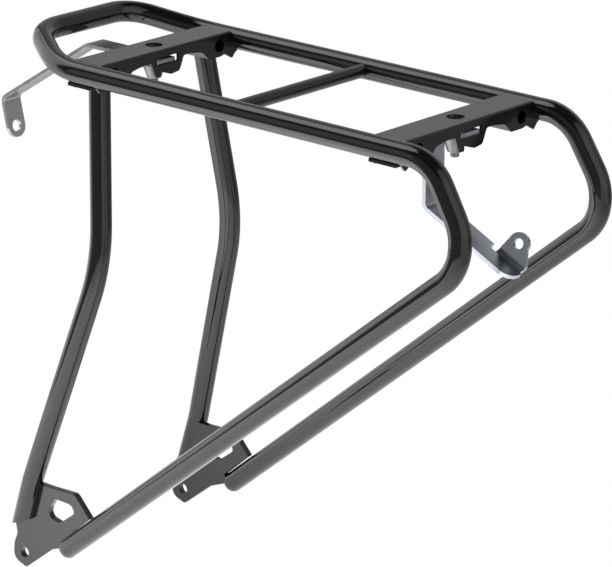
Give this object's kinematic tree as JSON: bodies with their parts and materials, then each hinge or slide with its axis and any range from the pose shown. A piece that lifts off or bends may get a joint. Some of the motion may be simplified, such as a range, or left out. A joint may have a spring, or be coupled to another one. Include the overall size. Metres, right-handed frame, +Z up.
{
  "type": "bicycle rear rack",
  "caption": "Bicycle rear rack of bent black tube with cross plates, two legs, dropout plates, an adjustable front stay and a rear light bracket.",
  "frame": {"origin": "halfway between the two dropout eyelets, on the line through their centres", "axes": "+X to the rider's right, +Y forwards to the saddle, +Z up"},
  "size_m": [0.1982, 0.5144, 0.4154],
  "materials": {
    "black_paint": "gloss black powder coat",
    "zinc_strip": "bright zinc plated strip",
    "zinc_hardware": "dull zinc plated fastener"
  },
  "bodies": {
    "frame": {"main_tube": "black_paint", "left_leg": "black_paint", "right_leg": "black_paint", "front_cross_plate": "black_paint", "rear_cross_plate": "black_paint", "cross_tube": "black_paint", "left_dropout_plate": "black_paint", "right_dropout_plate": "black_paint", "front_left_gusset": "black_paint", "front_right_gusset": "black_paint", "rear_left_gusset": "black_paint", "rear_right_gusset": "black_paint", "front_toothed_washer": "zinc_hardware", "rear_toothed_washer": "zinc_hardware", "front_clamp_nut": "zinc_hardware", "rear_clamp_nut": "zinc_hardware"},
    "front_stay": {"front_stay": "zinc_strip"},
    "rear_bracket": {"rear_bracket": "zinc_strip"},
    "front_bolt": {"front_clamp_bolt": "zinc_hardware"},
    "rear_bolt": {"rear_clamp_bolt": "zinc_hardware"}
  },
  "joints": [
    {"name": "front_stay_slide", "type": "slide", "parent": "frame", "child": "front_stay", "axis": [0, 1, 0], "range_m": [-0.005, 0.005]},
    {"name": "rear_bracket_slide", "type": "slide", "parent": "frame", "child": "rear_bracket", "axis": [0, 1, 0], "range_m": [-0.0005, 0.005]},
    {"name": "front_bolt_turn", "type": "hinge", "parent": "frame", "child": "front_bolt", "pos_m": [0, -0.0535, 0.38], "axis": [0, 0, 1], "continuous": true},
    {"name": "rear_bolt_turn", "type": "hinge", "parent": "frame", "child": "rear_bolt", "pos_m": [0, -0.3385, 0.38], "axis": [0, 0, 1], "continuous": true}
  ]
}
